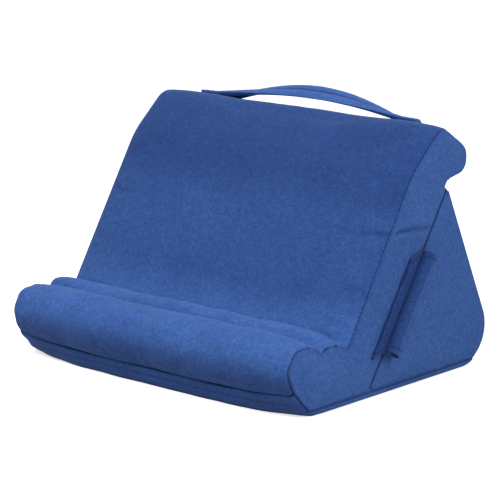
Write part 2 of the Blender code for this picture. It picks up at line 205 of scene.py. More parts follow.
def velvet(name):
    """Velvet that turns to a darker copy of its colours, painted shade, where its pile shade layer is 1, and
    is darkest, with painted seam and groove shade, where its seam layer is 1.
    """
    material = bpy.data.materials.new(name)
    material.use_nodes = True
    tree = material.node_tree
    tree.nodes.clear()
    place = add(tree, "ShaderNodeTexCoord").outputs["Object"]
    grain = add(tree, "ShaderNodeTexNoise", Vector=place, Scale=1000 / NAP_GRAIN, Detail=1.0).outputs["Fac"]
    clump = add(tree, "ShaderNodeTexNoise", Vector=place, Scale=1000 / NAP_CLUMP, Detail=2.0).outputs["Fac"]
    patch = add(tree, "ShaderNodeTexNoise", Vector=place, Scale=1000 / BRUSHED_PATCH, Detail=3.0,
                Distortion=0.6).outputs["Fac"]
    fine = add(tree, "ShaderNodeMath", {"operation": "MULTIPLY_ADD"}, i0=clump, i1=0.5, i2=grain).outputs[0]
    whole = add(tree, "ShaderNodeMath", {"operation": "MULTIPLY_ADD"}, i0=patch, i1=0.4, i2=fine).outputs[0]
    spread = add(tree, "ShaderNodeMapRange", Value=whole, From_Min=0.45, From_Max=1.45).outputs["Result"]
    pile_painted_shade = add(tree, "ShaderNodeAttribute", {"attribute_name": "pile_painted_shade"}).outputs["Fac"]
    # Painted shade: the pile's colours turn to their darker copy as the pile shade layer rises
    shaded_pile = add(tree, "ShaderNodeMix", {"data_type": "RGBA"}, Factor=pile_painted_shade,
                  i6=pile_shades(tree, spread, STANDING_PILE),
                  i7=pile_shades(tree, spread, PAINTED_SHADE_PILE)).outputs["Result"]
    seam_and_painted_shade = add(tree, "ShaderNodeAttribute", {"attribute_name": "seam_and_painted_shade"}).outputs["Fac"]
    # Painted shade of seams, channels and folds laid over the pile
    colour_with_painted_shade = add(tree, "ShaderNodeMix", {"data_type": "RGBA"}, Factor=seam_and_painted_shade, i6=shaded_pile,
               i7=colour(SEAM_PAINTED_SHADE)).outputs["Result"]
    bump = add(tree, "ShaderNodeBump", Strength=0.4, Distance=PILE_DEPTH * MM, Height=fine).outputs["Normal"]
    shader = add(tree, "ShaderNodeBsdfPrincipled", Base_Color=colour_with_painted_shade, Roughness=0.9, Sheen_Weight=0.3,
                 Sheen_Roughness=0.4, Sheen_Tint=colour("#A9C0EA"), Specular_IOR_Level=0.15, Normal=bump)
    add(tree, "ShaderNodeOutputMaterial", Surface=shader.outputs[0])
    return material


blue_velvet = velvet("blue_velvet")


# Cushion sections
# Both cushions are cut foam of one section, sewn into a cover that swells between two flat
# ends. A section is a list of corners (y, z, radius) in millimetres, given for the end seams
# (full 0) and the middle (full 1), and the front cushion leans back on the rear one.
WIDTH = 278.0
CROWN_POWER = 5
LEAN = math.radians(56.5)
BACK_THICKNESS = 42.0
BACK_PINCH = 4.0
TOP_HEIGHT = 202.0
TOP_CROWN = 2.5
RIDGE_OUT = 30.0
RIDGE_CROWN = 3.0
SHOULDER_DROP = 44.0
SHOULDER_CROWN = 2.0
NOTCH_DROP = 32.0
NOTCH_IN = 1.8
LOBE_OVERHANG = 15.0
LOBE_HEIGHT = 16.0
HEEL_RADIUS = 20.0
CREASE_TOP_DROP = 9.0
CREASE_TOP_RADIUS = 12.0
NOTCH_RADIUS = 6.0
LOBE_RADIUS = 13.0
LOBE_TOP_SHARE = 0.4
RIDGE_RADIUS = 11.0
SHOULDER_RADIUS = 70.0
SEAT_HEIGHT = 39.0
LIP_SLOPE = 5.5
LIP_FLAT = 11.5
LIP_RISE = 15.0
LIP_SEAM_RISE = 7.5
SLOT_RUN = 6.0
SLOT_RISE = 4.0
ROLL_RUN = 39.0
ROLL_RISE = 17.0
ROLL_SEAM_RISE = 12.0
ROLL_FRONT_HEIGHT = 37.0
BAND_HEIGHT = 15.0
BAND_SET_BACK = 9.5
FOOT_SET_BACK = 14.0
END_TUCK = 3.0
GROOVE_RADIUS = 3.5
LIP_RADIUS = 5.5
SLOT_RADIUS = 2.0
ROLL_BACK_RUN = 8.0
ROLL_BACK_RADIUS = 9.0
ROLL_TOP_RUN = 9.5
ROLL_TOP_RADIUS = 15.0
ROLL_FRONT_RADIUS = 14.0
ROLL_UNDER_RUN = 2.5
ROLL_UNDER_HEIGHT = 22.5
ROLL_UNDER_RADIUS = 8.0
BAND_RADIUS = 1.5
FOOT_RADIUS = 8.0
BACK_SLOPE = math.radians(65.4)
APEX_DROP = 33.0
REAR_RADIUS = 27.5
REAR_CROWN = 2.0
TOE_RADIUS = 2.0
APEX_RADIUS = 3.0
SHIFT_Y = -27.37
HALF_WIDTH = WIDTH / 2
FRONT_NAMES = ("heel", "crease_top", "notch", "lobe_under", "lobe_top", "ridge", "shoulder",
               "groove", "lip_back", "lip_front", "slot", "roll_back", "roll_top",
               "roll_front", "roll_under", "seam", "foot")
REAR_NAMES = ("toe", "rear_foot", "apex")
CLOTH_SPACING = 3.2
# An arc at a corner takes at most this share of the edges beside it
ARC_REACH = 0.48
# What the end seams add to these sizes
SEAM_ROLL_BACK = 1.0
SEAM_ROLL_TOP = 0.5
SEAM_ROLL_TOP_RADIUS = -4.0
SEAM_ROLL_FRONT_RADIUS = -1.0
SEAM_ROLL_UNDER = 1.5
SEAM_UNDER_HEIGHT = 3.5
SEAM_BAND = -2.0
SEAM_BAND_HEIGHT = 5.0
SEAM_BAND_RADIUS = 8.5
SEAM_FOOT = 12.0
SEAM_FOOT_RADIUS = 18.0


def mix(seam, middle, full):
    return seam + (middle - seam) * full


def with_seam(size, more, full):
    """A size that is larger by so much at the end seams."""
    return mix(size + more, size, full)


def slab(up, out):
    """Point (y, z) up the crease from the floor and out in front of it."""
    return (up * math.cos(LEAN) - out * math.sin(LEAN), up * math.sin(LEAN) + out * math.cos(LEAN))


def groove_y(full):
    out = mix(BACK_THICKNESS - BACK_PINCH, BACK_THICKNESS, full)
    return SEAT_HEIGHT / math.tan(LEAN) - out / math.sin(LEAN)


def front_corners(full):
    """Front cushion: from the crease's foot up and over the ridge, then down to the floor."""
    groove = groove_y(full)
    lip = SEAT_HEIGHT + mix(LIP_SEAM_RISE, LIP_RISE, 1 - (1 - full) ** 2)
    slot = groove_y(1) - LIP_SLOPE - LIP_FLAT - SLOT_RUN
    roll = SEAT_HEIGHT + mix(ROLL_SEAM_RISE, ROLL_RISE, full)
    front = slot - mix(ROLL_RUN - END_TUCK, ROLL_RUN, full)
    top = TOP_HEIGHT + TOP_CROWN * full
    notch = TOP_HEIGHT - NOTCH_DROP
    return [
        (0.0, 0.0, HEEL_RADIUS),
        (*slab(notch - CREASE_TOP_DROP, 0.0), CREASE_TOP_RADIUS),
        (*slab(notch, NOTCH_IN), NOTCH_RADIUS),
        (*slab(TOP_HEIGHT - LOBE_HEIGHT, -LOBE_OVERHANG), LOBE_RADIUS),
        (*slab(top, -LOBE_TOP_SHARE * LOBE_OVERHANG), LOBE_RADIUS),
        (*slab(top, RIDGE_OUT + RIDGE_CROWN * full), RIDGE_RADIUS),
        (*slab(TOP_HEIGHT - SHOULDER_DROP, BACK_THICKNESS + SHOULDER_CROWN * full), SHOULDER_RADIUS),
        (groove, SEAT_HEIGHT, GROOVE_RADIUS),
        (groove - with_seam(LIP_SLOPE, END_TUCK, full), lip, LIP_RADIUS),
        (slot + SLOT_RUN, lip, LIP_RADIUS),
        (slot, SEAT_HEIGHT + SLOT_RISE, SLOT_RADIUS),
        (slot - with_seam(ROLL_BACK_RUN, SEAM_ROLL_BACK, full), roll, ROLL_BACK_RADIUS),
        (front + with_seam(ROLL_TOP_RUN, SEAM_ROLL_TOP, full), roll,
         with_seam(ROLL_TOP_RADIUS, SEAM_ROLL_TOP_RADIUS, full)),
        (front, ROLL_FRONT_HEIGHT, with_seam(ROLL_FRONT_RADIUS, SEAM_ROLL_FRONT_RADIUS, full)),
        (front + with_seam(ROLL_UNDER_RUN, SEAM_ROLL_UNDER, full),
         with_seam(ROLL_UNDER_HEIGHT, SEAM_UNDER_HEIGHT, full), ROLL_UNDER_RADIUS),
        (front + with_seam(BAND_SET_BACK, SEAM_BAND, full), with_seam(BAND_HEIGHT, SEAM_BAND_HEIGHT, full),
         with_seam(BAND_RADIUS, SEAM_BAND_RADIUS, full)),
        (front + with_seam(FOOT_SET_BACK, SEAM_FOOT, full), 0.0,
         with_seam(FOOT_RADIUS, SEAM_FOOT_RADIUS, full)),
    ]


def rear_corners(full, toe=0.0):
    """Rear cushion: from its toe along the floor, up the back slope and down the crease."""
    apex = slab(TOP_HEIGHT - APEX_DROP, 0.0)
    foot = apex[0] + apex[1] / math.tan(BACK_SLOPE)
    return [
        (toe / math.tan(LEAN), toe, TOE_RADIUS),
        (foot + REAR_CROWN * full, 0.0, REAR_RADIUS),
        (*apex, APEX_RADIUS),
    ]


def on_arc(arc, share):
    centre, radius, first, sweep = arc
    return centre + radius * Vector((math.cos(first + sweep * share), math.sin(first + sweep * share)))


def arc_at(corners, i):
    """Centre, radius, first angle and sweep of the arc that rounds one corner."""
    corner = Vector(corners[i][:2])
    before = Vector(corners[i - 1][:2]) - corner
    after = Vector(corners[(i + 1) % len(corners)][:2]) - corner
    opening = before.angle(after)
    tangent = min(corners[i][2] / math.tan(opening / 2), ARC_REACH * before.length, ARC_REACH * after.length)
    start = corner + before.normalized() * tangent
    end = corner + after.normalized() * tangent
    between = (before.normalized() + after.normalized()).normalized()
    centre = corner + between * tangent / math.cos(opening / 2)
    first = math.atan2(start.y - centre.y, start.x - centre.x)
    last = math.atan2(end.y - centre.y, end.x - centre.x)
    return centre, (start - centre).length, first, (last - first + math.pi) % (2 * math.pi) - math.pi


def steps_of(corners):
    """For each corner, the even number of steps round its arc and of steps to the next arc."""
    arcs = [arc_at(corners, i) for i in range(len(corners))]
    steps = []
    for i, arc in enumerate(arcs):
        gap = (on_arc(arcs[(i + 1) % len(arcs)], 0.0) - on_arc(arc, 1.0)).length
        curve = 2 * max(2, round(arc[1] * abs(arc[3]) / CLOTH_SPACING / 2))
        steps.append((curve, max(1, round(gap / CLOTH_SPACING))))
    return steps


def outline(corners, steps):
    """The closed outline through the rounded corners, as (y, z) points."""
    arcs = [arc_at(corners, i) for i in range(len(corners))]
    points = []
    for i, arc in enumerate(arcs):
        curve, line = steps[i]
        points.extend(on_arc(arc, step / curve) for step in range(curve + 1))
        end = points[-1]
        target = on_arc(arcs[(i + 1) % len(arcs)], 0.0)
        points.extend(end.lerp(target, step / line) for step in range(1, line))
    return points


def mark(steps, names, name, share=0.5):
    """Place in an outline of a share of the way round a named corner's arc."""
    i = names.index(name)
    return sum(curve + line for curve, line in steps[:i]) + round(steps[i][0] * share)


def inset(points, distance):
    """A closed outline moved inwards by a distance."""
    moved = []
    for i, point in enumerate(points):
        ahead = (points[(i + 1) % len(points)] - point).normalized()
        behind = (point - points[i - 1]).normalized()
        normal = Vector((-ahead.y - behind.y, ahead.x + behind.x))
        moved.append(point + normal * (2 * distance / normal.length_squared))
    return moved


def full_at(x):
    """How full a cushion is at x: nothing at its end seams, most in the middle."""
    return 1.0 - min(1.0, abs(x / HALF_WIDTH)) ** CROWN_POWER


FRONT_STEPS = steps_of(front_corners(1.0))
REAR_STEPS = steps_of(rear_corners(1.0))


def front_mark(name, share=0.5):
    return mark(FRONT_STEPS, FRONT_NAMES, name, share)


def rear_mark(name, share=0.5):
    return mark(REAR_STEPS, REAR_NAMES, name, share)


# Front cushion
# One wrap of velvet runs from the notch behind the ridge over the backrest, the groove, the
# lip and the roll to the seam under the roll, tight over the foam. Its ends turn in over the
# seams of the end panels. It is lofted, then swollen as cloth with its seams held.
WRAP_END = 137.0
WRAP_ROUNDING = 3.0
ROUNDING_STEPS = 6
CREASE_GAP = 0.5
BAND_DEPTH = 2.0
BASE_CLOTH = 1.5
BASE_CLEAR = 0.4
SEAM_SPACING = 0.8
SWELL_FRAMES = 20
SWELL_CAP = 2.2
PUCKER_REACH = 7.0
PUCKER_LENGTH = 6.5
PUCKER_RUN = 40.0
PUCKER_HEIGHT = 0.9
SLACK_LENGTH = 38.0
SLACK_HEIGHT = 0.5
# Painted shade on the backrest and the seat, and where and how softly it changes between them
BACKREST_PAINTED_SHADE = 0.8
SEAT_PAINTED_SHADE = 0.5
SHADE_CHANGE_HEIGHT = 128.0
SHADE_CHANGE_FADE = 9.0
SHADE_CHANGE_STRAY = 16.0
JOIN_HEIGHT = 113.5
JOIN_DEPTH = 0.9
JOIN_REACH = 34.0
JOIN_STRAY = 2.0
JOIN_RUN = 20.0
JOIN_WIDTH = 1.8
JOIN_LINE = 1.3
JOIN_SHADE = 0.4
LEFT_DRAW = 3.2
LEFT_LIP = 4.0
LEFT_REACH = 22.0
LEFT_ROLL_SPREAD = 14.0
LEFT_LIP_SPREAD = 9.0
LEFT_FADE = 6.0
# Painted shade under the roll, and where the backrest's painted shade starts, ends and strays
ROLL_PAINTED_SHADE = 0.55
ROLL_SHADE_ABOVE = 5.0
ROLL_SHADE_FADE = 18.0
BACKREST_FOOT = 52.0
BACKREST_FADE = 20.0
RIDGE_SHADE_IN = 4.0
RIDGE_SHADE_FADE = 2.5
SHADE_STRAY_PATCH = 45.0
END_SEAM_WIDTH = 1.7
# Depth, width and painted shade of a sewn channel, and how far from it the cloth is divided finer
GROOVE_CHANNEL = (1.2, 1.6, 0.5)
SLOT_CHANNEL = (2.0, 1.3, 0.7)
CHANNEL_REACH = 4.0


def stations(end, rounding, spacing=CLOTH_SPACING):
    """Places across a cushion as (x, inset), with both ends rounded in over the seam."""
    inner = end - rounding
    count = 2 * round(inner / spacing)
    middle = [(-inner + 2 * inner * i / count, 0.0) for i in range(count + 1)]
    turns = [math.pi / 2 * i / ROUNDING_STEPS for i in range(1, ROUNDING_STEPS + 1)]
    tip = [(inner + rounding * math.sin(turn), rounding * (1 - math.cos(turn))) for turn in turns]
    return [(-x, depth) for x, depth in reversed(tip)] + middle + tip


def loft(rings):
    """A grid laid through closed rings of (x, y, z) points in millimetres and joined round.
    Each point keeps its ring and its place in the ring as layers."""
    bm = bmesh.new()
    ring_layer = bm.verts.layers.int.new("ring")
    place_layer = bm.verts.layers.int.new("place")
    across = len(rings) - 1
    size = len(rings[0])
    bmesh.ops.create_grid(bm, x_segments=across, y_segments=size, size=0.5)
    for vert in bm.verts:
        vert[ring_layer] = round((vert.co.x + 0.5) * across)
        vert[place_layer] = round((vert.co.y + 0.5) * size) % size
        vert.co = Vector(rings[vert[ring_layer]][vert[place_layer]]) * MM
    bmesh.ops.remove_doubles(bm, verts=bm.verts, dist=1e-7)
    bmesh.ops.recalc_face_normals(bm, faces=bm.faces)
    return bm


def on_stand(name, mesh):
    """A mesh as an object at the origin."""
    piece = bpy.data.objects.new(name, mesh)
    scene.collection.objects.link(piece)
    return piece


def swell(bm, held):
    """Lets the cloth of a bmesh swell from its held points, each free point up to a cap."""
    mesh = bpy.data.meshes.new("cover")
    bm.to_mesh(mesh)
    cover = on_stand("cover", mesh)
    cover.vertex_groups.new(name="held").add([v.index for v in bm.verts if held(v)], 1.0, "REPLACE")
    cloth = cover.modifiers.new("cloth", "CLOTH")
    settings = cloth.settings
    settings.quality = 4
    settings.mass = 0.2
    settings.tension_stiffness = 20.0
    settings.compression_stiffness = 20.0
    settings.shear_stiffness = 8.0
    settings.bending_stiffness = 0.3
    settings.use_pressure = True
    settings.uniform_pressure_force = 4.0
    settings.shrink_min = -0.008
    settings.vertex_group_mass = "held"
    settings.effector_weights.gravity = 0.0
    cloth.collision_settings.use_collision = False
    cloth.point_cache.frame_start = 1
    cloth.point_cache.frame_end = SWELL_FRAMES
    for step in range(1, SWELL_FRAMES + 1):
        scene.frame_set(step)
    swollen = cover.evaluated_get(bpy.context.evaluated_depsgraph_get()).to_mesh()
    for vert, moved in zip(bm.verts, swollen.vertices):
        shift = moved.co - vert.co
        vert.co += shift * min(1.0, SWELL_CAP * MM / max(shift.length, 1e-9))
    bpy.data.objects.remove(cover)
    scene.frame_set(1)


def smoothed(bm):
    """The bmesh once more, with every face divided smoothly into four."""
    mesh = bpy.data.meshes.new("cover")
    bm.to_mesh(mesh)
    bm.free()
    cover = on_stand("cover", mesh)
    cover.modifiers.new("smooth", "SUBSURF").levels = 1
    finer = bmesh.new()
    finer.from_object(cover, bpy.context.evaluated_depsgraph_get())
    bpy.data.objects.remove(cover)
    return finer


def capped(bm):
    """Closes the open ends of a loft."""
    bmesh.ops.holes_fill(bm, edges=[e for e in bm.edges if e.is_boundary], sides=0)
    bmesh.ops.recalc_face_normals(bm, faces=bm.faces)
    return bm


def layer_of(bm, name):
    return bm.verts.layers.float.get(name) or bm.verts.layers.float.new(name)


def near_to(points):
    """A function that gives the distance in millimetres from a vertex to a row of points."""
    tree = kdtree.KDTree(len(points))
    for i, point in enumerate(points):
        tree.insert(Vector(point) * MM, i)
    tree.balance()
    return lambda vert: tree.find(vert.co)[2] / MM


def channel(bm, points, depth, width, shade):
    """A stitched channel along a row of points: the cloth beside it is divided finer, drawn in
    and darkened with painted shade."""
    distance = near_to(points)
    close = {vert for vert in bm.verts if distance(vert) < CHANNEL_REACH}
    crossing = [e for e in bm.edges if e.verts[0] in close and e.verts[1] in close
                and abs(e.verts[0].co.x - e.verts[1].co.x) < 0.3 * e.calc_length()]
    bmesh.ops.subdivide_edges(bm, edges=crossing, cuts=3, use_grid_fill=True)
    bm.normal_update()
    seam_and_painted_shade = layer_of(bm, "seam_and_painted_shade")
    for vert in bm.verts:
        drawn = math.exp(-(distance(vert) / width) ** 2)
        vert.co -= vert.normal * depth * drawn * MM
        # Painted shade in the channel
        vert[seam_and_painted_shade] = max(vert[seam_and_painted_shade], shade * drawn)


def puckered(bm, slack=SLACK_HEIGHT):
    """Short puckers that run out from the end seams, and the cloth's broad slack."""
    bm.normal_update()
    for vert in bm.verts:
        x, y, z = vert.co / MM
        away = max(0.0, WRAP_END - abs(x))
        pucker = noise.noise(Vector((x / PUCKER_RUN, y / PUCKER_LENGTH, z / PUCKER_LENGTH)))
        broad = noise.noise(Vector((x, y + 50, z)) / SLACK_LENGTH)
        rise = PUCKER_HEIGHT * pucker * math.exp(-away / PUCKER_REACH) + slack * broad
        vert.co += vert.normal * rise * min(1.0, away / 2 + 0.2) * MM


def uneven(bm):
    """The left end as it was sewn: the roll drawn in a little more, the lip standing higher."""
    slot = groove_y(1) - LIP_SLOPE - LIP_FLAT - SLOT_RUN + SHIFT_Y
    for vert in bm.verts:
        x, y, z = vert.co / MM
        near = math.exp(-((x + HALF_WIDTH) / LEFT_REACH) ** 2) if x < 0 else 0.0
        roll = math.exp(-((z - ROLL_FRONT_HEIGHT) / LEFT_ROLL_SPREAD) ** 2)
        roll /= 1 + math.exp((y - slot) / LEFT_FADE)
        lip = math.exp(-((y - slot - SLOT_RUN - LIP_FLAT / 2) / LEFT_LIP_SPREAD) ** 2)
        lip *= min(1.0, max(0.0, (z - SEAT_HEIGHT) / LEFT_FADE))
        vert.co += Vector((LEFT_DRAW * roll, 0.0, LEFT_LIP * lip)) * near * MM


def finished(name, bm, material=blue_velvet):
    """The smooth piece made of a bmesh, in one material and riding on the stand."""
    mesh = bpy.data.meshes.new(name)
    bm.to_mesh(mesh)
    bm.free()
    mesh.shade_smooth()
    mesh.materials.append(material)
    piece = on_stand(name, mesh)
    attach(piece, "root")
    return piece


def front_section(x, depth=0.0):
    return inset(outline(front_corners(full_at(x)), FRONT_STEPS), depth)


def front_body(x, depth):
    """Ring of the cushion inside its band and base: the wrap, then the covered foam."""
    seam = front_mark("seam")
    ring = front_section(x, depth)[:seam + 1] + front_section(x, depth + BAND_DEPTH)[seam + 1:]
    crease_end = front_mark("crease_top", 1.0)
    return [(x, p.x + SHIFT_Y - (CREASE_GAP if i <= crease_end else 0.0), max(p.y, BASE_CLOTH + BASE_CLEAR))
            for i, p in enumerate(ring)]


def row(section, place):
    """Points of one place of a cushion's section, all the way across."""
    count = round(2 * WRAP_END / SEAM_SPACING)
    points = []
    for i in range(count + 1):
        x = -WRAP_END + 2 * WRAP_END * i / count
        p = section(x)[place]
        points.append((x, p.x + SHIFT_Y, p.y))
    return points


def end_row(section, depth):
    """Points along both end seams of a cushion."""
    return [(side * WRAP_END, p.x + SHIFT_Y, p.y) for side in (-1, 1) for p in section(WRAP_END, depth)]


places = stations(WRAP_END, WRAP_ROUNDING)
bm = loft([front_body(x, depth) for x, depth in places])
ring_of = bm.verts.layers.int["ring"]
place_of = bm.verts.layers.int["place"]
seams = [front_mark(name) for name in ("notch", "groove", "slot", "seam")]
crease_end = front_mark("crease_top", 1.0)
swell(bm, lambda v: min(v[ring_of], len(places) - 1 - v[ring_of]) < ROUNDING_STEPS
      or v[place_of] in seams or v[place_of] > seams[-1] or v[place_of] < crease_end)
bm = capped(smoothed(bm))
puckered(bm)
uneven(bm)
channel(bm, row(front_section, front_mark("groove")), *GROOVE_CHANNEL)
channel(bm, row(front_section, front_mark("slot")), *SLOT_CHANNEL)
distance = near_to(end_row(front_section, WRAP_ROUNDING))
seam_and_painted_shade = layer_of(bm, "seam_and_painted_shade")
pile_painted_shade = layer_of(bm, "pile_painted_shade")
bm.normal_update()
for vert in bm.verts:
    # Painted shade along the end seams' grooves
    vert[seam_and_painted_shade] = max(vert[seam_and_painted_shade], math.exp(-(distance(vert) / END_SEAM_WIDTH) ** 4))
    x, y, z = vert.co / MM
    out = z * math.cos(LEAN) - (y - SHIFT_Y) * math.sin(LEAN)
    if out > RIDGE_OUT and z > SEAT_HEIGHT + LIP_RISE:
        off = z - JOIN_HEIGHT - JOIN_STRAY * noise.noise(Vector((x / JOIN_RUN, 7.0, 0.0)))
        near_end = math.exp(-((HALF_WIDTH - abs(x)) / JOIN_REACH) ** 2)
        vert.co -= vert.normal * JOIN_DEPTH * near_end * math.exp(-(off / JOIN_WIDTH) ** 2) * MM
        # Painted shade in the crease where the foam blocks meet
        vert[seam_and_painted_shade] = max(vert[seam_and_painted_shade], JOIN_SHADE * near_end * math.exp(-(off / JOIN_LINE) ** 2))
    # Painted shade: deepest on the backrest above the fold, less on the seat, and under the roll
    backrest = min(1.0, max(0.0, (z - BACKREST_FOOT) / BACKREST_FADE))
    backrest /= 1 + math.exp((RIDGE_OUT - RIDGE_SHADE_IN - out) / RIDGE_SHADE_FADE)
    stray = SHADE_CHANGE_STRAY * noise.noise(vert.co / (SHADE_STRAY_PATCH * MM))
    above_fold = 1 / (1 + math.exp((SHADE_CHANGE_HEIGHT - z + stray) / SHADE_CHANGE_FADE))
    under = min(1.0, max(0.0, (ROLL_FRONT_HEIGHT + ROLL_SHADE_ABOVE - z) / ROLL_SHADE_FADE))
    vert[pile_painted_shade] = max(mix(SEAT_PAINTED_SHADE, BACKREST_PAINTED_SHADE, above_fold) * backrest, ROLL_PAINTED_SHADE * under)
front_cushion = finished("front_cushion", bm)
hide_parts("front_wrap_panel", "front_foam")


# Low band
# A narrow strip of velvet under the roll, sewn to the wrap above and to the base below. It is
# a little loose, so two flat folds run along it, with a swell above, between and below them.
BAND_CLOTH = 1.6
BAND_BULGE = 1.1
BAND_SWELLS = 3
BAND_STEPS = 16
BAND_FOLDS = (5, 11)
BAND_LOOSE = 0.5
BAND_LOOSE_RUN = 22.0
BAND_SLACK = 0.3
BAND_PAINTED_SHADE = 0.45
BAND_SEAM_WIDTH = 1.6
BAND_RIM_SHADE = 0.6
BAND_FOLD_SHADE = 0.35
BAND_FOLD_WIDTH = 0.9


def strip_ring(x, path, thickness):
    """A closed ring round a strip of cloth: its outer path and the same path inside it."""
    inner = []
    for i, point in enumerate(path):
        tangent = (path[min(i + 1, len(path) - 1)] - path[max(i - 1, 0)]).normalized()
        inner.append(point + Vector((-tangent.y, tangent.x)) * thickness)
    return [(x, p.x + SHIFT_Y, p.y) for p in list(path) + inner[::-1]]


def spaced(path, count):
    """An open path as so many even steps."""
    lengths = [0.0]
    for before, after in zip(path, path[1:]):
        lengths.append(lengths[-1] + (after - before).length)
    points = []
    j = 0
    for i in range(count + 1):
        goal = lengths[-1] * i / count
        while j < len(path) - 2 and lengths[j + 1] < goal:
            j += 1
        points.append(path[j].lerp(path[j + 1], (goal - lengths[j]) / (lengths[j + 1] - lengths[j])))
    return points


def band_path(x, depth):
    section = front_section(x, depth)
    path = spaced(section[front_mark("seam", 1.0):front_mark("foot", 1.0) + 1], BAND_STEPS)
    loose = 1.0 + BAND_LOOSE * noise.noise(Vector((x / BAND_LOOSE_RUN, 3.0, 0.0)))
    bulged = []
    for i, point in enumerate(path):
        tangent = (path[min(i + 1, BAND_STEPS)] - path[max(i - 1, 0)]).normalized()
        wave = abs(math.sin(math.pi * i * BAND_SWELLS / BAND_STEPS)) ** 0.7
        bulged.append(point + Vector((tangent.y, -tangent.x)) * BAND_BULGE * loose * wave)
    return bulged


bm = smoothed(loft([strip_ring(x, band_path(x, depth), BAND_CLOTH) for x, depth in places]))
capped(bm)
puckered(bm, BAND_SLACK)
uneven(bm)
distance = near_to(end_row(front_section, WRAP_ROUNDING))
rim = near_to(row(front_section, front_mark("seam", 1.0)))
seam_and_painted_shade = layer_of(bm, "seam_and_painted_shade")
pile_painted_shade = layer_of(bm, "pile_painted_shade")
folds = near_to([(x, p.x + SHIFT_Y, p.y) for x, depth in stations(WRAP_END, WRAP_ROUNDING, SEAM_SPACING)
                 for p in (band_path(x, depth)[i] for i in BAND_FOLDS)])
# Painted shade along the seams and folds, and over the whole band under the roll
for vert in bm.verts:
    vert[seam_and_painted_shade] = max(math.exp(-(distance(vert) / BAND_SEAM_WIDTH) ** 2),
                     BAND_RIM_SHADE * math.exp(-rim(vert) ** 2),
                     BAND_FOLD_SHADE * math.exp(-(folds(vert) / BAND_FOLD_WIDTH) ** 2))
    vert[pile_painted_shade] = BAND_PAINTED_SHADE
front_strip = finished("front_strip", bm)
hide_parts("front_band")


# End panels
# Each end of a cushion is closed by a flat piece of velvet cut to its section. Its edge turns
# in to the seam, and the foam crowns it slightly. On the front cushion a fold crosses it, and
# short gathers spread from the two tight turns of its seam.
PANEL_CLOTH = 1.4
PANEL_GRID = 1.8
PANEL_CROWN = 1.2
CREASE_COVER = 0.9
LOBE_BULGE = 2.6
LOBE_MIDDLE = (-84.0, 27.0)
LOBE_REACH = 24.0
CROWN_RUN = 12.0
PANEL_WAVE = 0.5
PANEL_WAVE_RUN = 26.0
RIM_WAVE_RUN = 6.0
RIM_WAVE_REACH = 5.0
RIM_POINTS = 900
RIM_SHADE = 0.8
RIM_SHADE_WIDTH = 2.0
# The panel's turned edge, from inside the seam to its face, as (out, in from the outline)
PANEL_RIM = ((-3.0, 3.1), (0.0, 1.5), (0.5, 1.6), (0.9, 1.9), (1.15, 2.5), (1.3, 3.3),
             (PANEL_CLOTH, 4.4))
BASE_SEAM = 4.3
GATHER_HEIGHT = 0.7
GATHER_COUNT = 9
GATHER_START = 3.0
GATHER_REACH = 10.0
GATHERED = [(y + SHIFT_Y, z) for y, z in (slab(TOP_HEIGHT - NOTCH_DROP, NOTCH_IN),
                                          (groove_y(0), SEAT_HEIGHT))]
FOLD = ((0.0, 115.5), (47.0, 113.2))
FOLD_DEPTH = 1.8
FOLD_WIDTH = 1.5
FOLD_SHADE = 0.5
FOLD_LINE = 1.1
# Height, place beside the fold and width of the two soft rolls that it pushes up
FOLD_ROLLS = ((0.9, -3.6, 2.4), (0.9, 3.4, 2.4))


def gathers(y, z):
    """Short puckers that spread from a tight turn of the seam."""
    away = math.hypot(y, z)
    spread = GATHER_HEIGHT * math.sin(GATHER_COUNT * math.atan2(z, y)) * (1 - math.exp(-away / GATHER_START))
    return spread * math.exp(-(away / GATHER_REACH) ** 2)


